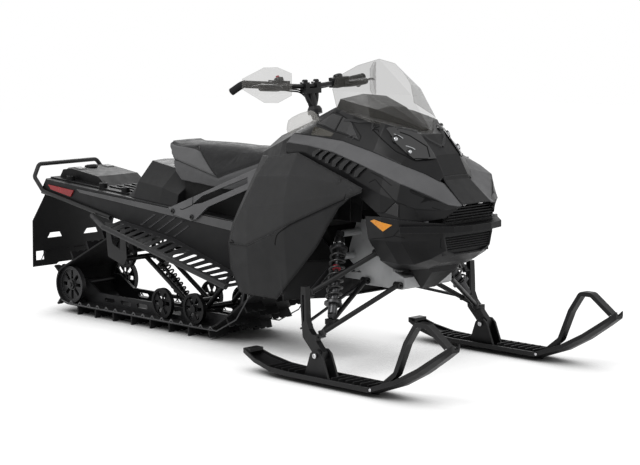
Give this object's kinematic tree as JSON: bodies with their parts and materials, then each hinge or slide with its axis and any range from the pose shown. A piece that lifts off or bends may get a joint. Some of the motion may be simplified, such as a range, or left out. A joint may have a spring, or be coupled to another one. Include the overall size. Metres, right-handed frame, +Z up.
{
  "type": "snowmobile",
  "caption": "Two-ski snowmobile with a paddled track under a tunnel, faceted bodywork, windshield, hand guards, seat and a rear cargo deck; handlebar steers both skis.",
  "frame": {"origin": "on the ground, midway along the machine and on its centre plane", "axes": "+X forward, +Y to the rider's left, +Z up"},
  "size_m": [3.22, 1.196, 1.347],
  "materials": {
    "track_rubber": "moulded rubber with raised paddles",
    "black_plastic": "fine-grained moulded plastic",
    "grey_panel": "satin grey moulded panel",
    "dark_panel": "satin dark moulded panel",
    "band_grey": "satin mid-grey band",
    "tunnel_paint": "satin dark paint on sheet",
    "frame_paint": "satin black paint",
    "spring_black": "black coated spring wire",
    "cast_light": "as-cast, light grey",
    "steel": "machined and plated",
    "rail_alloy": "dark anodised",
    "seat_vinyl": "grained vinyl with seams",
    "clear_glass": "clear bent sheet",
    "lamp_lens": "clear lens",
    "red_lens": "red lens",
    "orange_lens": "orange reflector",
    "grip_rubber": "ribbed grip",
    "engine_iron": "plain block",
    "ski_plastic": "moulded ski"
  },
  "bodies": {
    "chassis": {"track": "track_rubber", "slide_rails": "rail_alloy", "rear_axle": "black_plastic", "upper_idlers": "black_plastic", "bogie_wheels": "black_plastic", "drive_axle": "steel", "skid_arms": "frame_paint", "skid_shocks": "steel", "drop_brackets": "frame_paint", "tunnel": "tunnel_paint", "edge_strips": "band_grey", "cargo_deck": "black_plastic", "rear_bumper": "frame_paint", "snow_flap": "black_plastic", "tail_lights": "red_lens", "running_boards": "tunnel_paint", "seat": "seat_vinyl", "seat_base": "black_plastic", "rear_cover": "grey_panel", "frame_braces": "frame_paint", "engine_cradle": "tunnel_paint", "engine_block": "engine_iron", "bulkhead": "cast_light", "suspension_arms": "frame_paint", "front_shocks": "steel", "shock_springs": "spring_black", "side_louvres": "black_plastic", "hood": "dark_panel", "nose_plate": "grey_panel", "shoulder_bands": "band_grey", "flanks": "dark_panel", "belly_pan": "dark_panel", "front_bumper": "black_plastic", "upper_grille": "black_plastic", "side_panels": "dark_panel", "footwell_panels": "dark_panel", "console": "black_plastic", "windshield": "clear_glass", "dash": "black_plastic", "headlights": "lamp_lens", "reflectors": "orange_lens"},
    "handlebars": {"handlebar": "frame_paint", "grips": "grip_rubber", "switch_blocks": "black_plastic", "steering_column": "frame_paint", "hand_guards": "clear_glass"},
    "left_ski_leg": {"spindle_left": "frame_paint", "ski_left": "ski_plastic"},
    "right_ski_leg": {"spindle_right": "frame_paint", "ski_right": "ski_plastic"},
    "pitman": {"pitman_arm": "steel"},
    "left_tie_rod": {"tie_rod_left": "steel"},
    "right_tie_rod": {"tie_rod_right": "steel"}
  },
  "joints": [
    {"name": "steer", "type": "hinge", "parent": "chassis", "child": "handlebars", "pos_m": [0.279, 0, 1.072], "axis": [-0.5446, 0, 0.8387], "range_deg": [-36, 36]},
    {"name": "pitman_turn", "type": "hinge", "parent": "chassis", "child": "pitman", "pos_m": [0.7, 0, 0.4], "axis": [-0.3907, 0, 0.9205], "range_deg": [-28, 28]},
    {"name": "left_ski_turn", "type": "hinge", "parent": "chassis", "child": "left_ski_leg", "pos_m": [0.815, 0.49, 0.207], "axis": [-0.3907, 0, 0.9205], "range_deg": [-28, 28]},
    {"name": "right_ski_turn", "type": "hinge", "parent": "chassis", "child": "right_ski_leg", "pos_m": [0.815, -0.49, 0.207], "axis": [-0.3907, 0, 0.9205], "range_deg": [-28, 28]},
    {"name": "left_tie_turn", "type": "hinge", "parent": "left_ski_leg", "child": "left_tie_rod", "pos_m": [0.72256, 0.508, 0.2327], "axis": [-0.3907, 0, 0.9205], "range_deg": [-28, 28]},
    {"name": "right_tie_turn", "type": "hinge", "parent": "right_ski_leg", "child": "right_tie_rod", "pos_m": [0.72256, -0.508, 0.2327], "axis": [-0.3907, 0, 0.9205], "range_deg": [-28, 28]}
  ],
  "couplings": [
    {"joint": "pitman_turn", "follows": "steer", "ratio": 0.77778},
    {"joint": "left_ski_turn", "follows": "steer", "ratio": 0.77778},
    {"joint": "right_ski_turn", "follows": "steer", "ratio": 0.77778},
    {"joint": "left_tie_turn", "follows": "steer", "ratio": -0.77778},
    {"joint": "right_tie_turn", "follows": "steer", "ratio": -0.77778}
  ]
}
